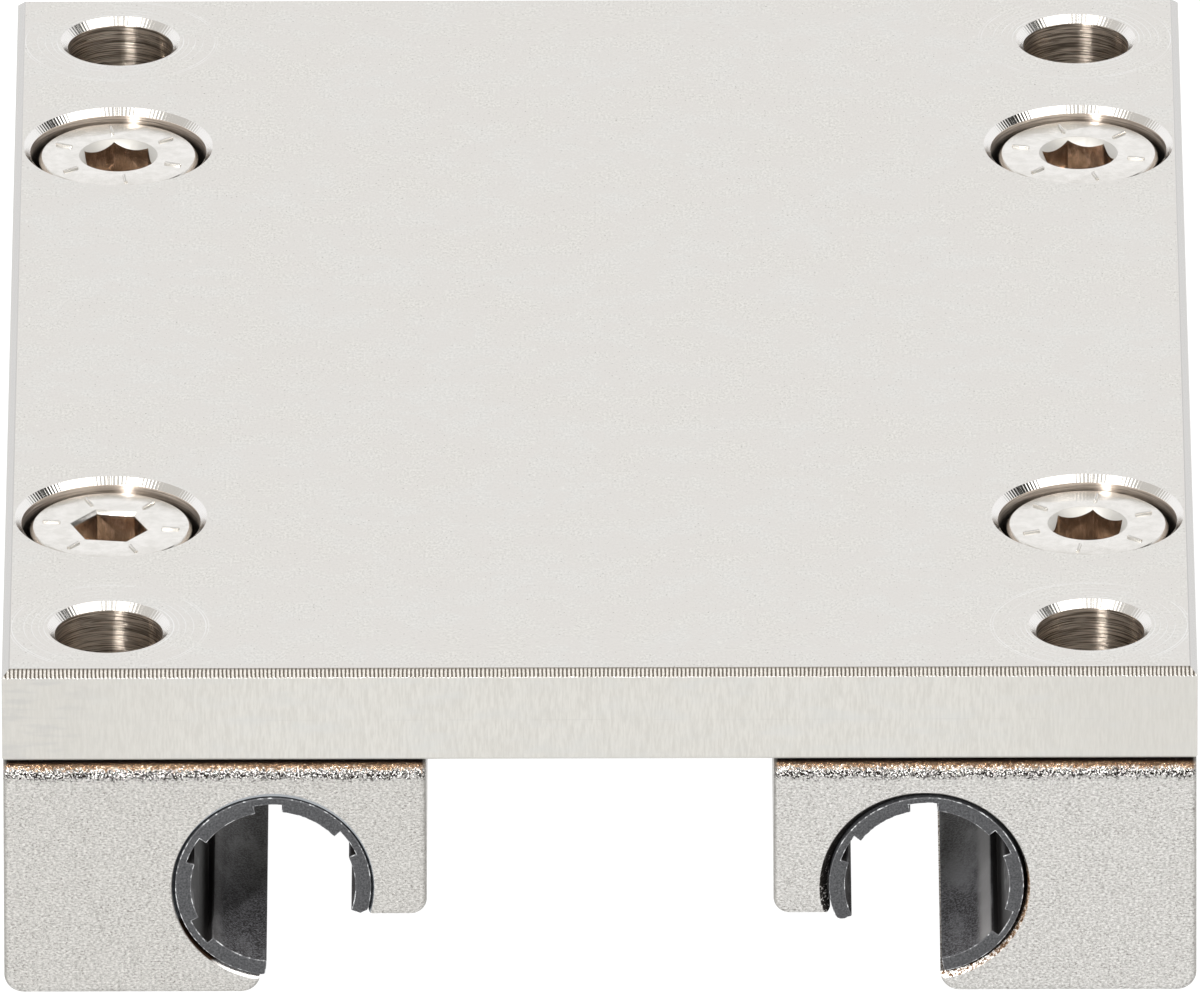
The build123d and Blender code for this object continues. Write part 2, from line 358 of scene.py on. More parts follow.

# The counterbores are the same, with painted shade that turns black further down beside the screw's
# head
counterbored, tree, shader, place, tone = bored(
    "counterbored_wall", (0.56, 0.475, 0.41), (0.93, 0.82, 0.72), 0.12 * mm
)
# Painted shade: darker with depth, near black beside the screw's head
shade_level = plus(tree, part(tree, place, "Z"), times(tree, grain(tree, place, 0.9 * mm), 0.3 * mm))
painted_depth_shade = fade(tree, shade_level, plate_high.z - 1.2 * mm, plate_high.z - 0.55 * mm, 0.93, 0)
tone = blend(tree, painted_depth_shade, tone, (0.02, 0.017, 0.014))
dust = fade(tree, grain(tree, place, 0.14 * mm, detail=1), 0.74, 0.78)
tone = blend(tree, dust, tone, (0.75, 0.74, 0.72))
tree.links.new(tone, shader.inputs["Base Color"])

plate_finishes = [ground_top, milled_side, chattered, clean_chamfer, load_chamfer,
                  counterbore_chamfer, drilled, counterbored]
TOP, SIDE, CHATTERED, CLEAN, LOAD_RIM, BORE_RIM, DRILLED, BORED = range(8)


def eased(work, edges, width, steps=2, clamped=False):
    """Rounds off these edges of a mesh."""
    bmesh.ops.bevel(work, geom=edges, offset=width, segments=steps, profile=0.5,
                    affect="EDGES", clamp_overlap=clamped)


work = bmesh.new()
levels = (
    (plate_low.z, deburr),
    (plate_low.z + deburr, 0),
    (plate_high.z - edge_chamfer, 0),
    (plate_high.z, edge_chamfer),
)
corners = ((-1, -1), (1, -1), (1, 1), (-1, 1))
loops = [
    [work.verts.new((x * (half_width - inset), y * (half_length - inset), z)) for x, y in corners]
    for z, inset in levels
]
for lower, upper in zip(loops, loops[1:]):
    for i in range(4):
        work.faces.new((lower[i], lower[(i + 1) % 4], upper[(i + 1) % 4], upper[i]))
work.faces.new(loops[-1])
work.faces.new(loops[0][::-1])
eased(work, work.edges[:], edge_break)
work.normal_update()
rims = {}
for sign in (1, -1):
    cap = max((f for f in work.faces if f.normal.z * sign > 0.999), key=lambda f: f.calc_area())
    rims[sign] = cap.edges[:]
    bmesh.ops.delete(work, geom=[cap], context="FACES_ONLY")
for face in work.faces:
    if face.normal.z < 0.4:
        face.material_index = SIDE
    else:
        face.material_index = CHATTERED if abs(face.normal.y) > abs(face.normal.x) else CLEAN

# Each hole from the top down, as radius, depth and finish, with a small crest on each edge
crest, floor_break = 0.012 * mm, 0.1 * mm
load_hole = (
    (load_rim + crest, 0, LOAD_RIM),
    (load_rim - crest, 2 * crest, LOAD_RIM),
    (hole_radius + crest, load_rim - hole_radius - crest, LOAD_RIM),
    (hole_radius, load_rim - hole_radius + 2 * crest, DRILLED),
    (hole_radius, plate_thickness - deburr, DRILLED),
    (hole_radius + deburr, plate_thickness, DRILLED),
)
counterbore = (
    (counterbore_rim + crest, 0, BORE_RIM),
    (counterbore_rim - crest, 2 * crest, BORE_RIM),
    (counterbore_radius + crest, counterbore_rim - counterbore_radius - crest, BORE_RIM),
    (counterbore_radius, counterbore_rim - counterbore_radius + 2 * crest, BORED),
    (counterbore_radius, counterbore_depth - floor_break, BORED),
    (counterbore_radius - floor_break, counterbore_depth, BORED),
    (hole_radius + floor_break, counterbore_depth, BORED),
    (hole_radius, counterbore_depth + floor_break, DRILLED),
    (hole_radius, plate_thickness - deburr, DRILLED),
    (hole_radius + deburr, plate_thickness, DRILLED),
)
for x in (-hole_x, hole_x):
    for y, profile in ((-load_hole_y, load_hole), (load_hole_y, load_hole),
                       (-screw_y, counterbore), (screw_y, counterbore)):
        above = None
        for radius, depth, finish in profile:
            ring = [
                work.verts.new((
                    x + radius * cos(2 * pi * i / hole_sides),
                    y + radius * sin(2 * pi * i / hole_sides),
                    plate_high.z - depth,
                ))
                for i in range(hole_sides)
            ]
            if above:
                for i in range(hole_sides):
                    j = (i + 1) % hole_sides
                    work.faces.new((above[i], above[j], ring[j], ring[i])).material_index = finish
            else:
                rims[1] += [
                    work.edges.new((ring[i], ring[(i + 1) % hole_sides])) for i in range(hole_sides)
                ]
            above = ring
        rims[-1] += [work.edges.get((above[i], above[(i + 1) % hole_sides])) for i in range(hole_sides)]
for sign, finish in ((1, TOP), (-1, SIDE)):
    filled = bmesh.ops.triangle_fill(
        work, use_beauty=True, use_dissolve=False, edges=rims[sign], normal=(0, 0, sign)
    )
    for face in filled["geom"]:
        if isinstance(face, bmesh.types.BMFace):
            face.material_index = finish
bmesh.ops.recalc_face_normals(work, faces=work.faces[:])


def shaded(name, work, finishes, sharp=25.0):
    """Makes a piece of a finished mesh: smooth but for its edges, and in the scene."""
    mesh = bpy.data.meshes.new(name)
    work.to_mesh(mesh)
    work.free()
    for finish in finishes:
        mesh.materials.append(finish)
    mesh.polygons.foreach_set("use_smooth", [True] * len(mesh.polygons))
    mesh.set_sharp_from_angle(angle=radians(sharp))
    piece = bpy.data.objects.new(name, mesh)
    bpy.context.scene.collection.objects.link(piece)
    return piece


plate = shaded("carriage_plate", work, plate_finishes, sharp=12)
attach(plate, "carriage")
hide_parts("top_plate")

# The four bearing housings are investment castings in stainless steel, bead blasted, so their
# skin is an even pebbly grain with dark pits. Their shape is the source's own. The left seats are
# reamed smooth; the right ones, cast as ovals, keep the rough skin.
shaft_x, shaft_z = 20 * mm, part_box("front_left_housing")[1].z - 9 * mm
housing_length, housing_y = 27 * mm, 35.5 * mm


def pitted(tree, place, drifts):
    """Dark pits that lie in drifts, with short dark creases between the pebbles."""
    pits = grain(tree, place, 0.10 * mm, detail=2, rough=0.6, stretch=(2.0, 2.0, 1))
    pits = fade(tree, plus(tree, pits, times(tree, drifts, 0.16)), 0.63, 0.77)
    crease = sums(tree, "ABSOLUTE", minus(tree, grain(tree, place, 0.2 * mm, detail=2), 0.5))
    broken = fade(tree, grain(tree, place, 0.26 * mm, detail=2, stretch=(1.6, 1.6, 1)), 0.48, 0.60)
    crease = times(tree, fade(tree, crease, 0, 0.035, 0.75, 0), broken)
    return sums(tree, "MAXIMUM", pits, crease)


def seat_skin(tree, reamed, outer, up, radius, crumbs, wander):
    """Where the wall of a seat is, and its colour, with painted light in it."""
    if reamed:
        # A painted highlight where the seat faces up, a painted grey-blue reflection above, and painted
        # shade in brown at the outer bottom corner
        seat = fade(tree, radius, 6.30 * mm, 6.33 * mm, 1, 0)
        above_corner = fade(tree, up, -5.15 * mm, -4.9 * mm)
        inside = blend(tree, above_corner, (0.97, 0.95, 0.93), (0.07, 0.04, 0.025))
        inside = blend(tree, fade(tree, up, -2.4 * mm, -2.0 * mm), inside, (0.34, 0.36, 0.38))
    else:
        # Black with scale from the mould, brown on the outer side, and painted bright sparkles below,
        # more of them lower down
        seat = fade(tree, radius, 6.42 * mm, 6.46 * mm, 1, 0)
        rusty = times(tree, fade(tree, outer, 3.5 * mm, 5 * mm),
                      fade(tree, plus(tree, up, wander), 0.4 * mm, 1.8 * mm, 1, 0))
        rusty = sums(tree, "MAXIMUM", rusty, fade(tree, up, -4 * mm, -3.5 * mm, 1, 0))
        scale = blend(tree, fade(tree, crumbs, 0.42, 0.66), (0.035, 0.031, 0.028), (0.10, 0.092, 0.085))
        rust = blend(tree, fade(tree, crumbs, 0.40, 0.58), (0.14, 0.075, 0.04), (0.78, 0.56, 0.38))
        inside = blend(tree, rusty, scale, rust)
        # Painted highlight: bright sparkles, more of them lower down
        painted_sparkles = fade(tree, plus(tree, crumbs, times(tree, up, -0.022 / mm)), 0.59, 0.63)
        inside = blend(tree, painted_sparkles, inside, (1, 0.97, 0.93))
    return seat, inside


def casting(name, side, reamed):
    """The blasted skin of the housings on one side, with the finish of their seats."""
    blasted = 0.42
    material, tree, shader, place = steel(name, blasted)
    above_shaft = minus(tree, part(tree, place, "Z"), shaft_z)

    # Fine pebbles, some of them pits
    pebbles = grain(tree, place, 0.11 * mm, detail=3, rough=0.7, stretch=(1.7, 1.7, 1))
    drifts = grain(tree, place, 1.3 * mm, detail=3, stretch=(1.4, 1.4, 1))
    pits = pitted(tree, place, drifts)
    pale = (0.735, 0.72, 0.69) if reamed else (0.785, 0.773, 0.75)
    tone = blend(tree, fade(tree, pebbles, 0.25, 0.75), (0.32, 0.312, 0.294), pale)

    # The rounded ends under the plate carry painted light: painted black flecks, then a painted bright
    # band of sparkles, then painted brown, and painted black shade in the corner
    from_middle = minus(tree, sums(tree, "ABSOLUTE", part(tree, place, "Y")), housing_y)
    at_end = fade(tree, sums(tree, "ABSOLUTE", from_middle),
                  housing_length / 2 - 2 * mm, housing_length / 2 - 1.4 * mm)
    crumbs = grain(tree, place, 0.18 * mm, detail=3, rough=0.7)
    wander = plus(tree, times(tree, minus(tree, drifts, 0.5), 0.3 * mm),
                  times(tree, minus(tree, crumbs, 0.5), 1.4 * mm))
    height = plus(tree, above_shaft, wander)

    def end_above(level, start, full):
        """The part of an end face above a height, in millimetres over the shaft, fading in."""
        return times(tree, at_end, fade(tree, level, start * mm, full * mm))

    rounded = end_above(height, 7.1, 7.42)
    clear = fade(tree, height, 7.66 * mm, 7.9 * mm, 1, 0.3)
    flecks = fade(tree, grain(tree, place, 0.12 * mm, detail=3, rough=0.7), 0.448, 0.492)
    flecks = times(tree, flecks, times(tree, rounded, clear))
    tone = blend(tree, end_above(height, 7.25, 7.5), tone, (0.95, 0.93, 0.90))
    tone = blend(tree, end_above(height, 7.74, 8.0), tone, (0.50, 0.33, 0.20))
    tone = blend(tree, times(tree, pits, 0.75), tone, (0.16, 0.145, 0.13))
    tone = blend(tree, flecks, tone, (0.02, 0.015, 0.012))
    tone = blend(tree, end_above(height, 7.85, 8.25), tone, (0.14, 0.08, 0.045))
    tone = blend(tree, end_above(above_shaft, 8.06, 8.3), tone, (0.008, 0.006, 0.005))

    # The rounded corners between the end faces and the flanks are darker, with painted shade
    normal = tree.nodes.new("ShaderNodeNewGeometry").outputs["Normal"]
    sidelong = sums(tree, "ABSOLUTE", part(tree, normal, "X"))
    corner = times(tree, fade(tree, sidelong, 0.25, 0.85, 0, 0.65),
                   fade(tree, sidelong, 0.93, 0.99, 1, 0))
    tone = blend(tree, corner, tone, (0.30, 0.29, 0.27))

    # Across and up from the middle of the seat's mouth, which is a little off the shaft's line
    inward, drop, squash = (0, 0, 1) if reamed else (0.145 * mm, 0.08 * mm, 1.02)
    across = minus(tree, part(tree, place, "X"), side * (shaft_x - inward))
    up = times(tree, plus(tree, above_shaft, drop), squash)
    sideways = times(tree, across, 1.02 if reamed else 1.0)
    radius = plus(tree, reach(tree, sideways, up), times(tree, up, 0.0075))
    outer = times(tree, across, side)
    seat, inside = seat_skin(tree, reamed, outer, up, radius, crumbs, wander)
    tone = blend(tree, seat, tone, inside)
    tree.links.new(tone, shader.inputs["Base Color"])

    # The rounded ends glint, and a reamed seat is smooth
    matt = minus(tree, blasted, times(tree, rounded, 0.2))
    coarse = minus(tree, pebbles, times(tree, pits, 0.4))
    if reamed:
        matt = minus(tree, matt, times(tree, seat, 0.2))
        coarse = times(tree, coarse, minus(tree, 1.0, seat))
    coarse = times(tree, coarse, plus(tree, 1.0, times(tree, rounded, 2.0)))
    tree.links.new(matt, shader.inputs["Roughness"])
    tree.links.new(relief(tree, coarse, 0.02 * mm), shader.inputs["Normal"])
    return material


castings = {"left": casting("cast_held", -1, True), "right": casting("cast_floating", 1, False)}
for end in ("front", "rear"):
    for side, skin in castings.items():
        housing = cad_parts[f"{end}_{side}_housing"]
        for slot in housing.material_slots:
            slot.material = skin

# The liners are moulded in a slate-grey sliding plastic: an open ring of five running pads with
# grooves between them, which a pip on top keeps from creeping out of the housing. The pads and
# grooves repeat by a rule, so Geometry Nodes cut them.
bore, groove, outside = 5.03 * mm, 5.53 * mm, 5.92 * mm
pads, pad_angle, groove_angle = 5, radians(42), radians(18.5)
liner_length, liner_y = housing_length, housing_y
pip_radius, pip_height, pip_root = 1.5 * mm, 1.2 * mm, 0.3 * mm
first_angle = {"left": radians(-18.8), "right": radians(-24.2)}
edge_rounding, end_band, shortest_edge = 0.055 * mm, 0.06 * mm, 0.04 * mm

# A held liner is squeezed by its seat, and a floating one leans on the arm side of its oval seat
pressed_in, lean = 0.08 * mm, 0.09 * mm


def sized_tree(name, output, sizes):
    """A Geometry Nodes tree with named sizes. Returns it, its nodes' maker and the sizes."""
    tree = bpy.data.node_groups.new(name, "GeometryNodeTree")
    for label, kind, value in sizes:
        socket = tree.interface.new_socket(label, in_out="INPUT", socket_type=kind)
        if value is not None:
            socket.default_value = value
    tree.interface.new_socket(output, in_out="OUTPUT", socket_type="NodeSocketGeometry")
    given = tree.nodes.new("NodeGroupInput")

    def node(kind, *joined, **settings):
        """Adds a node. joined pairs each input's name or number with a socket or a value."""
        made = tree.nodes.new(kind)
        for setting, value in settings.items():
            setattr(made, setting, value)
        for socket_name, value in joined:
            socket = made.inputs[socket_name]
            if isinstance(value, bpy.types.NodeSocket):
                tree.links.new(value, socket)
            else:
                socket.default_value = value
        return made

    return tree, node, given.outputs


def along_axis(node, axis, length):
    """A vector of this length along one axis."""
    return node("ShaderNodeCombineXYZ", (axis, length)).outputs["Vector"]


def finished(node, mesh, material, output):
    """Ends a tree: its mesh made real, in this material."""
    real = node("GeometryNodeRealizeInstances", ("Geometry", mesh))
    dressed = node("GeometryNodeSetMaterial", ("Geometry", real.outputs["Geometry"]),
                   ("Material", material))
    node("NodeGroupOutput", (output, dressed.outputs["Geometry"]))


def bar_slice():
    """A slice of a round bar, like a slice of cake, centred on its length."""
    tree, node, given = sized_tree("bar_slice", "Slice", (
        ("Radius", "NodeSocketFloat", outside),
        ("First Angle", "NodeSocketFloat", 0.0),
        ("Sweep", "NodeSocketFloat", pi),
        ("Length", "NodeSocketFloat", liner_length),
        ("Steps", "NodeSocketInt", 16),
    ))
    arc = node(
        "GeometryNodeCurveArc", ("Resolution", given["Steps"]), ("Radius", given["Radius"]),
        ("Start Angle", given["First Angle"]), ("Sweep Angle", given["Sweep"]),
        ("Connect Center", True),
    )
    face = node("GeometryNodeFillCurve", ("Curve", arc.outputs["Curve"]), mode="NGONS")
    raised = node("GeometryNodeExtrudeMesh", ("Mesh", face.outputs["Mesh"]),
                  ("Offset Scale", given["Length"]), ("Individual", False))
    back = node("GeometryNodeFlipFaces", ("Mesh", face.outputs["Mesh"]))
    closed = node("GeometryNodeJoinGeometry", ("Geometry", raised.outputs["Mesh"]))
    tree.links.new(back.outputs["Mesh"], closed.inputs["Geometry"])
    welded = node("GeometryNodeMergeByDistance", ("Geometry", closed.outputs["Geometry"]),
                  ("Distance", 1e-7))
    shift = along_axis(node, "Z", times(tree, given["Length"], -0.5))
    centred = node("GeometryNodeTransform", ("Geometry", welded.outputs["Geometry"]),
                   ("Translation", shift))
    node("NodeGroupOutput", ("Slice", centred.outputs["Geometry"]))
    return tree


def slotted_liner():
    """The liner, upright round the Z axis: a slice of bar, less its bore and its grooves."""
    tree, node, given = sized_tree("slotted_liner", "Liner", (
        ("Outside Radius", "NodeSocketFloat", outside),
        ("Bore Radius", "NodeSocketFloat", bore),
        ("Groove Radius", "NodeSocketFloat", groove),
        ("Length", "NodeSocketFloat", liner_length),
        ("Pads", "NodeSocketInt", pads),
        ("Pad Angle", "NodeSocketFloat", pad_angle),
        ("Groove Angle", "NodeSocketFloat", groove_angle),
        ("First Angle", "NodeSocketFloat", 0.0),
        ("Pip Radius", "NodeSocketFloat", pip_radius),
        ("Pip Height", "NodeSocketFloat", pip_height),
        ("Plastic", "NodeSocketMaterial", None),
    ))

    step = plus(tree, given["Pad Angle"], given["Groove Angle"])
    sweep = minus(tree, times(tree, step, given["Pads"]), given["Groove Angle"])
    first_groove = plus(tree, given["First Angle"], given["Pad Angle"])
    cut_length = times(tree, given["Length"], 1.2)
    slices = bar_slice()
    blank = node("GeometryNodeGroup", ("Radius", given["Outside Radius"]),
                 ("First Angle", given["First Angle"]), ("Sweep", sweep),
                 ("Length", given["Length"]), ("Steps", 58), node_tree=slices)
    cutter = node("GeometryNodeGroup", ("Radius", given["Groove Radius"]),
                  ("First Angle", first_groove), ("Sweep", given["Groove Angle"]),
                  ("Length", cut_length), ("Steps", 6), node_tree=slices)
    drill = node("GeometryNodeMeshCylinder", ("Vertices", 76), ("Radius", given["Bore Radius"]),
                 ("Depth", cut_length))
    places = node("GeometryNodePoints", ("Count", minus(tree, given["Pads"], 1.0)))
    number = node("GeometryNodeInputIndex").outputs["Index"]
    turn = along_axis(node, "Z", times(tree, number, step))
    grooves = node("GeometryNodeInstanceOnPoints", ("Points", places.outputs["Points"]),
                   ("Instance", cutter.outputs["Slice"]), ("Rotation", turn))
    grooves = node("GeometryNodeRealizeInstances", ("Geometry", grooves.outputs["Instances"]))
    ring = node("GeometryNodeMeshBoolean", ("Mesh 1", blank.outputs["Slice"]),
                operation="DIFFERENCE", solver="EXACT")
    tree.links.new(drill.outputs["Mesh"], ring.inputs["Mesh 2"])
    tree.links.new(grooves.outputs["Geometry"], ring.inputs["Mesh 2"])
    peg = node("GeometryNodeMeshCylinder", ("Vertices", 40), ("Radius", given["Pip Radius"]),
               ("Depth", plus(tree, given["Pip Height"], pip_root)))
    rise = times(tree, minus(tree, given["Pip Height"], pip_root), 0.5)
    lift = along_axis(node, "Y", plus(tree, given["Outside Radius"], rise))
    peg = node("GeometryNodeTransform", ("Geometry", peg.outputs["Mesh"]),
               ("Translation", lift), ("Rotation", (pi / 2, 0, 0)))
    whole = node("GeometryNodeMeshBoolean", operation="UNION", solver="EXACT")
    tree.links.new(ring.outputs["Mesh"], whole.inputs["Mesh 2"])
    tree.links.new(peg.outputs["Geometry"], whole.inputs["Mesh 2"])
    finished(node, whole.outputs["Mesh"], given["Plastic"], "Liner")
    return tree


def grown(tree, sizes):
    """The plain mesh that a tree makes from these sizes."""
    seed = bpy.data.objects.new("seed", bpy.data.meshes.new("seed"))
    bpy.context.scene.collection.objects.link(seed)
    modifier = seed.modifiers.new("tree", "NODES")
    modifier.node_group = tree
    sockets = {s.name: s.identifier for s in tree.interface.items_tree if s.in_out == "INPUT"}
    for label, value in sizes.items():
        modifier[sockets[label]] = value
    bpy.context.view_layer.update()
    evaluated = seed.evaluated_get(bpy.context.evaluated_depsgraph_get())
    mesh = bpy.data.meshes.new_from_object(evaluated)
    seed.modifiers.clear()
    bpy.data.objects.remove(seed)
    return mesh


def plastic(name, roughness):
    """A finish in the liners' plastic, which starts as steel does but is no metal."""
    material, tree, shader, place = steel(name, roughness)
    shader.inputs["Metallic"].default_value = 0
    return material, tree, shader, place


# The plastic: matt, with a soft bloom of rubbed patches inside the bore over painted shade, and painted
# shade that makes its grooves near black
slate, tree, shader, place = plastic("slate_plastic", roughness=0.42)
gloss = 0.38
shader.inputs["Specular IOR Level"].default_value = gloss
across = minus(tree, sums(tree, "ABSOLUTE", part(tree, place, "X")), shaft_x)
up = minus(tree, part(tree, place, "Z"), shaft_z)
radius = reach(tree, across, up)
normal = tree.nodes.new("ShaderNodeNewGeometry").outputs["True Normal"]
lengthwise = fade(tree, sums(tree, "ABSOLUTE", part(tree, normal, "Y")), 0.3, 0.6, 1, 0)
in_bore = fade(tree, radius, bore + 0.07 * mm, bore + 0.17 * mm, 1, 0)
bored_face = times(tree, lengthwise, in_bore)
past_bore = fade(tree, radius, bore + 0.07 * mm, bore + 0.22 * mm)
in_groove = times(tree, past_bore, fade(tree, radius, groove + 0.07 * mm, groove + 0.17 * mm, 1, 0))
bloom = grain(tree, place, 2.6 * mm, detail=5, stretch=(1.2, 2.6, 0.8), rough=0.65)
flecks = grain(tree, place, 0.13 * mm, detail=3, rough=0.7)
tone = blend(tree, fade(tree, flecks, 0.3, 0.75), (0.018, 0.0185, 0.020), (0.082, 0.0835, 0.088))
rubbed = blend(tree, fade(tree, bloom, 0.46, 0.68), (0.019, 0.017, 0.017), (0.115, 0.115, 0.12))
low = times(tree, fade(tree, up, -4.6 * mm, -2.6 * mm, 1, 0), fade(tree, flecks, 0.4, 0.65))
rubbed = blend(tree, low, rubbed, (0.15, 0.15, 0.16))

# The outer pad is worn pale beside its groove, most of all in the right liners
worn = times(tree, fade(tree, across, 3.0 * mm, 3.5 * mm),
             fade(tree, across, 3.85 * mm, 4.0 * mm, 1, 0))
worn = times(tree, worn, fade(tree, up, -0.5 * mm, 0, 1, 0))
worn = times(tree, worn, fade(tree, part(tree, place, "X"), -mm, mm, 0.25, 1))
rubbed = blend(tree, worn, rubbed, (0.21, 0.205, 0.205))
tone = blend(tree, bored_face, tone, rubbed)
# Painted shade: the grooves near black
tone = blend(tree, times(tree, lengthwise, in_groove), tone, (0.012, 0.011, 0.011))
tree.links.new(tone, shader.inputs["Base Color"])
dry = times(tree, bored_face, fade(tree, bloom, 0.46, 0.66, 1, 0.2))
tree.links.new(sums(tree, "MULTIPLY_ADD", dry, -0.26, gloss), shader.inputs["Specular IOR Level"])
tree.links.new(relief(tree, flecks, 0.008 * mm), shader.inputs["Normal"])

# The same plastic on the eased edges at its ends, paler, in dashes: painted edge highlights
edge_highlight, tree, shader, place = plastic("painted_edge_highlight", roughness=0.4)
dashes = grain(tree, place, 0.45 * mm, detail=4, rough=0.6)
tone = blend(tree, fade(tree, dashes, 0.47, 0.62), (0.08, 0.08, 0.085), (0.55, 0.56, 0.57))
tree.links.new(tone, shader.inputs["Base Color"])


def long_edge(work, radius, angle):
    """The edge as long as a liner that is nearest to this radius and angle."""
    spot = Vector((radius * cos(angle), radius * sin(angle)))
    return min(
        (e for e in work.edges if abs(e.verts[0].co.z - e.verts[1].co.z) > liner_length / 2),
        key=lambda e: (e.verts[0].co.xy - spot).length + (e.verts[1].co.xy - spot).length,
    )


def sharp_edges(work, degrees):
    """The edges that turn by more than this."""
    return [
        e for e in work.edges
        if len(e.link_faces) == 2 and e.calc_face_angle() > radians(degrees)
    ]


liner_tree = slotted_liner()
for side_name, side in (("left", -1), ("right", 1)):
    start = first_angle[side_name]
    stop = start + pads * (pad_angle + groove_angle) - groove_angle
    swell = pressed_in if side_name == "left" else 0
    rim = outside + swell
    raw = grown(liner_tree, {
        "First Angle": start, "Plastic": slate,
        "Outside Radius": rim, "Pip Height": pip_height - swell,
    })

    # The long edges at the ring's two tips: where each is, and how far and how roundly it is eased
    if side_name == "left":
        tips = ((rim, start, 0.35 * mm, 1), (rim, stop, 0.15 * mm, 3))
    else:
        tips = ((rim, start, 0.40 * mm, 4), (bore, start, 0.38 * mm, 4), (rim, stop, 0.15 * mm, 3))
    for end_name, end in (("front", -1), ("rear", 1)):
        work = bmesh.new()
        work.from_mesh(raw)
        bmesh.ops.remove_doubles(work, verts=work.verts[:], dist=1e-7)
        for radius, angle, size, steps in tips:
            eased(work, [long_edge(work, radius, angle)], size, steps, clamped=True)
        bmesh.ops.remove_doubles(work, verts=work.verts[:], dist=shortest_edge)
        bmesh.ops.dissolve_degenerate(work, edges=work.edges[:], dist=1e-6)
        eased(work, sharp_edges(work, 38), edge_rounding)
        if side_name == "right":
            for vert in work.verts:
                from_axis = vert.co.xy.length
                if vert.co.x > 0 and from_axis > outside - 0.1 * mm:
                    vert.co.x += lean * (vert.co.x / from_axis) ** 2
        work.normal_update()
        for face in work.faces:
            at_end = abs(face.calc_center_median().z) > liner_length / 2 - end_band
            face.material_index = 1 if at_end and 0.15 < abs(face.normal.z) < 0.97 else 0

        # From upright, with the arm on the +X side, to along the shaft with the arm inward
        setting = Matrix((
            (-side, 0, 0, side * shaft_x),
            (0, 0, side, end * liner_y),
            (0, 1, 0, shaft_z),
            (0, 0, 0, 1),
        ))
        bmesh.ops.transform(work, matrix=setting, verts=work.verts[:])
        bmesh.ops.recalc_face_normals(work, faces=work.faces[:])
        liner = shaded(f"{end_name}_{side_name}_slotted_liner", work, [slate, edge_highlight], sharp=30)
        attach(liner, "carriage" if side_name == "left" else f"{end_name}_floating_liner")
        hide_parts(f"{end_name}_{side_name}_liner")

# The screws are stainless M6 with low heads and hexagon sockets. Their heads are cold formed: bright, a
# little uneven, with a ring of raised ticks, and brown down in the socket.
head_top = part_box("front_left_screw")[1].z
head_radius, head_height, screw_length = 5 * mm, 4 * mm, 12 * mm
core_radius, crest_radius, pitch, ridge_size = 2.45 * mm, 2.95 * mm, 1 * mm, 0.52 * mm
socket_corner, socket_depth, socket_mouth = 2.309 * mm, 2.2 * mm, 2.46 * mm
lip_radius, lip_depth = 2.6 * mm, 0.6 * mm
thread_turns, thread_foot = 10.2, 0.8 * mm
socket_turns = {"front_left": 52, "front_right": 21, "rear_left": 37, "rear_right": 46}

bright, tree, shader, place = steel("bright_screw", roughness=0.2)
radius = from_hole(tree, place, screw_y)[2]
down = fade(tree, part(tree, place, "Z"), head_top - 0.5 * mm, head_top - 0.1 * mm, 1, 0)
# Brown, darker and scuffed, down in the socket
down_in_socket = times(tree, down, fade(tree, radius, 2.4 * mm, 2.6 * mm, 1, 0))
cloud = grain(tree, place, 0.9 * mm, detail=5, rough=0.6)
scuffs = grain(tree, place, 0.35 * mm, detail=5, stretch=(1, 1, 2.5), rough=0.7)
socket_tone = blend(tree, fade(tree, scuffs, 0.45, 0.65), (0.41, 0.33, 0.26), (0.69, 0.58, 0.50))
tone = blend(tree, fade(tree, cloud, 0.3, 0.7), (0.74, 0.72, 0.68), (0.84, 0.82, 0.785))
tone = blend(tree, down_in_socket, tone, socket_tone)
tree.links.new(tone, shader.inputs["Base Color"])
uneven = relief(tree, grain(tree, place, 1.1 * mm, detail=2), 0.02 * mm)
scratches = grain(tree, place, 0.10 * mm, detail=3, stretch=(1, 1, 4))
tree.links.new(relief(tree, scratches, 0.005 * mm, uneven), shader.inputs["Normal"])

# The dished lip of a socket: pressed, so it is as pale as the head and does not shine
pressed, tree, shader, place = steel("pressed_lip", 0.55, (0.58, 0.57, 0.545))
tree.links.new(relief(tree, grain(tree, place, 0.3 * mm, detail=3), 0.01 * mm), shader.inputs["Normal"])


def turned(profile, sides):
    """A closed body turned about the Z axis from (radius, height) pairs, top to bottom."""
    work = bmesh.new()
    rings = [
        [work.verts.new((r * cos(2 * pi * i / sides), r * sin(2 * pi * i / sides), z))
         for i in range(sides)]
        for r, z in profile
    ]
    for above, below in zip(rings, rings[1:]):
        for i in range(sides):
            j = (i + 1) % sides
            work.faces.new((above[i], below[i], below[j], above[j]))
    work.faces.new(rings[0])
    work.faces.new(rings[-1][::-1])
    bmesh.ops.recalc_face_normals(work, faces=work.faces[:])
    return work


def thread_tree():
    """A thread's ridge: a triangle swept along a helix."""
    tree, node, given = sized_tree("thread_ridge", "Ridge", (
        ("Radius", "NodeSocketFloat", core_radius),
        ("Pitch", "NodeSocketFloat", pitch),
        ("Turns", "NodeSocketFloat", thread_turns),
        ("Ridge Size", "NodeSocketFloat", ridge_size),
        ("Metal", "NodeSocketMaterial", None),
    ))
    helix = node("GeometryNodeCurveSpiral", ("Resolution", 40), ("Rotations", given["Turns"]),
                 ("Start Radius", given["Radius"]), ("End Radius", given["Radius"]),
                 ("Height", times(tree, given["Pitch"], given["Turns"])))
    level = node("GeometryNodeSetCurveNormal", ("Curve", helix.outputs["Curve"]), mode="Z_UP")
    ridge = node("GeometryNodeCurvePrimitiveCircle", ("Resolution", 3), ("Radius", given["Ridge Size"]))
    swept = node("GeometryNodeCurveToMesh", ("Curve", level.outputs["Curve"]),
                 ("Profile Curve", ridge.outputs["Curve"]), ("Fill Caps", True))
    finished(node, swept.outputs["Mesh"], given["Metal"], "Ridge")
    return tree


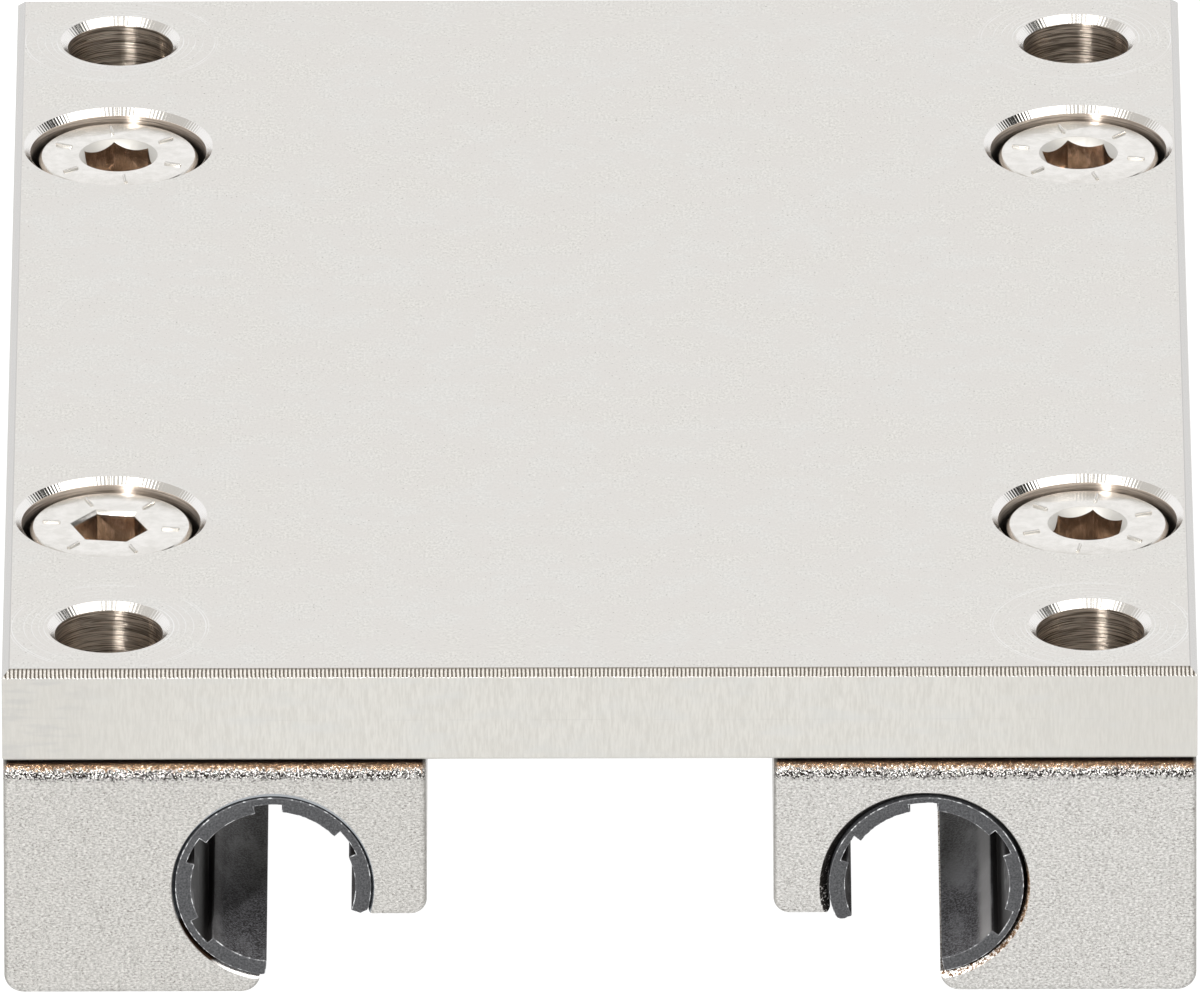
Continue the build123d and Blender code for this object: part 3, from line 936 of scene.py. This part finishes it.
def tick_tree():
    """A ring of raised radial ticks, as is usual on such heads."""
    tree, node, given = sized_tree("head_ticks", "Ticks", (
        ("Count", "NodeSocketInt", 6),
        ("Middle Radius", "NodeSocketFloat", 3.7 * mm),
        ("Length", "NodeSocketFloat", 1.1 * mm),
        ("Width", "NodeSocketFloat", 0.2 * mm),
        ("Height", "NodeSocketFloat", 0.24 * mm),
        ("Metal", "NodeSocketMaterial", None),
    ))
    size = node("ShaderNodeCombineXYZ", ("X", given["Length"]), ("Y", given["Width"]),
                ("Z", given["Height"]))
    bar = node("GeometryNodeMeshCube", ("Size", size.outputs["Vector"]))
    bar = node("GeometryNodeTransform", ("Geometry", bar.outputs["Mesh"]),
               ("Translation", along_axis(node, "X", given["Middle Radius"])))
    number = node("GeometryNodeInputIndex").outputs["Index"]
    share = sums(tree, "DIVIDE", number, given["Count"])
    turn = along_axis(node, "Z", times(tree, share, 2 * pi))
    places = node("GeometryNodePoints", ("Count", given["Count"]))
    ring = node("GeometryNodeInstanceOnPoints", ("Points", places.outputs["Points"]),
                ("Instance", bar.outputs["Geometry"]), ("Rotation", turn))
    finished(node, ring.outputs["Instances"], given["Metal"], "Ticks")
    return tree


def cut_away(body, cutters):
    """A mesh with others cut out of it."""
    made = []
    for work in (body, *cutters):
        mesh = bpy.data.meshes.new("blank")
        work.to_mesh(mesh)
        work.free()
        made.append(bpy.data.objects.new("blank", mesh))
        bpy.context.scene.collection.objects.link(made[-1])
    for cutter in made[1:]:
        cut = made[0].modifiers.new("cut", "BOOLEAN")
        cut.operation = "DIFFERENCE"
        cut.solver = "EXACT"
        cut.object = cutter
    bpy.context.view_layer.update()
    result = bpy.data.meshes.new_from_object(
        made[0].evaluated_get(bpy.context.evaluated_depsgraph_get())
    )
    for left_over in made:
        bpy.data.objects.remove(left_over)
    return result


def low_head(lip_sides, lip_mouth, lip_foot):
    """The head and the core of the shank, with the socket cut and its lip countersunk."""
    # The crown, the rim, the underside, the fillet under it, the shank and its point
    tip = -head_height - screw_length
    blank = turned((
        (4.72 * mm, 0), (4.79 * mm, -0.02 * mm), (4.97 * mm, -0.21 * mm), (head_radius, -0.30 * mm),
        (head_radius, -3.9 * mm), (4.9 * mm, -head_height), (2.75 * mm, -head_height),
        (2.55 * mm, -4.06 * mm), (core_radius, -4.25 * mm), (core_radius, tip + 0.55 * mm),
        (1.9 * mm, tip),
    ), 128)
    hexagon = turned((
        (socket_corner, 0.5 * mm), (socket_corner, -socket_depth), (0.2 * mm, -socket_depth - 0.9 * mm),
    ), 6)
    flare = 0.5 * mm
    lead_in = turned(((lip_mouth + flare, flare), (lip_foot, lip_foot - lip_mouth)), lip_sides)
    return cut_away(blank, (hexagon, lead_in))


# Three sockets have a round lip that scallops the hexagon, and the front left one a hexagonal lip
round_lip = low_head(96, socket_mouth, 2.0 * mm)
hexagonal_lip = low_head(6, socket_corner + 0.24 * mm, socket_corner - 0.05 * mm)
thread = grown(thread_tree(), {"Radius": crest_radius - ridge_size, "Metal": bright})
thread.transform(Matrix.Translation((0, 0, thread_foot - head_height - screw_length)))
raised = bmesh.new()
raised.from_mesh(grown(tick_tree(), {"Metal": bright}))
eased(raised, raised.edges[:], 0.05 * mm, clamped=True)
ticks = bpy.data.meshes.new("ticks")
raised.to_mesh(ticks)
raised.free()
for end_name, end in (("front", -1), ("rear", 1)):
    for side_name, side in (("left", -1), ("right", 1)):
        has_round_lip = (end_name, side_name) != ("front", "left")
        work = bmesh.new()
        work.from_mesh(round_lip if has_round_lip else hexagonal_lip)
        eased(work, sharp_edges(work, 35), 0.03 * mm, clamped=True)
        work.normal_update()
        for face in work.faces:
            middle = face.calc_center_median()
            near_mouth = middle.xy.length < lip_radius and middle.z > -lip_depth
            in_lip = near_mouth and 0.3 < face.normal.z < 0.95
            face.material_index = 1 if in_lip and has_round_lip else 0
        work.from_mesh(ticks)
        work.from_mesh(thread)
        turn = Matrix.Rotation(radians(socket_turns[f"{end_name}_{side_name}"]), 4, "Z")
        stand = Matrix.Translation((side * hole_x, end * screw_y, head_top))
        bmesh.ops.transform(work, matrix=stand @ turn, verts=work.verts[:])
        screw = shaded(f"{end_name}_{side_name}_low_head_screw", work, [bright, pressed], sharp=28)
        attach(screw, "carriage")
        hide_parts(f"{end_name}_{side_name}_screw")
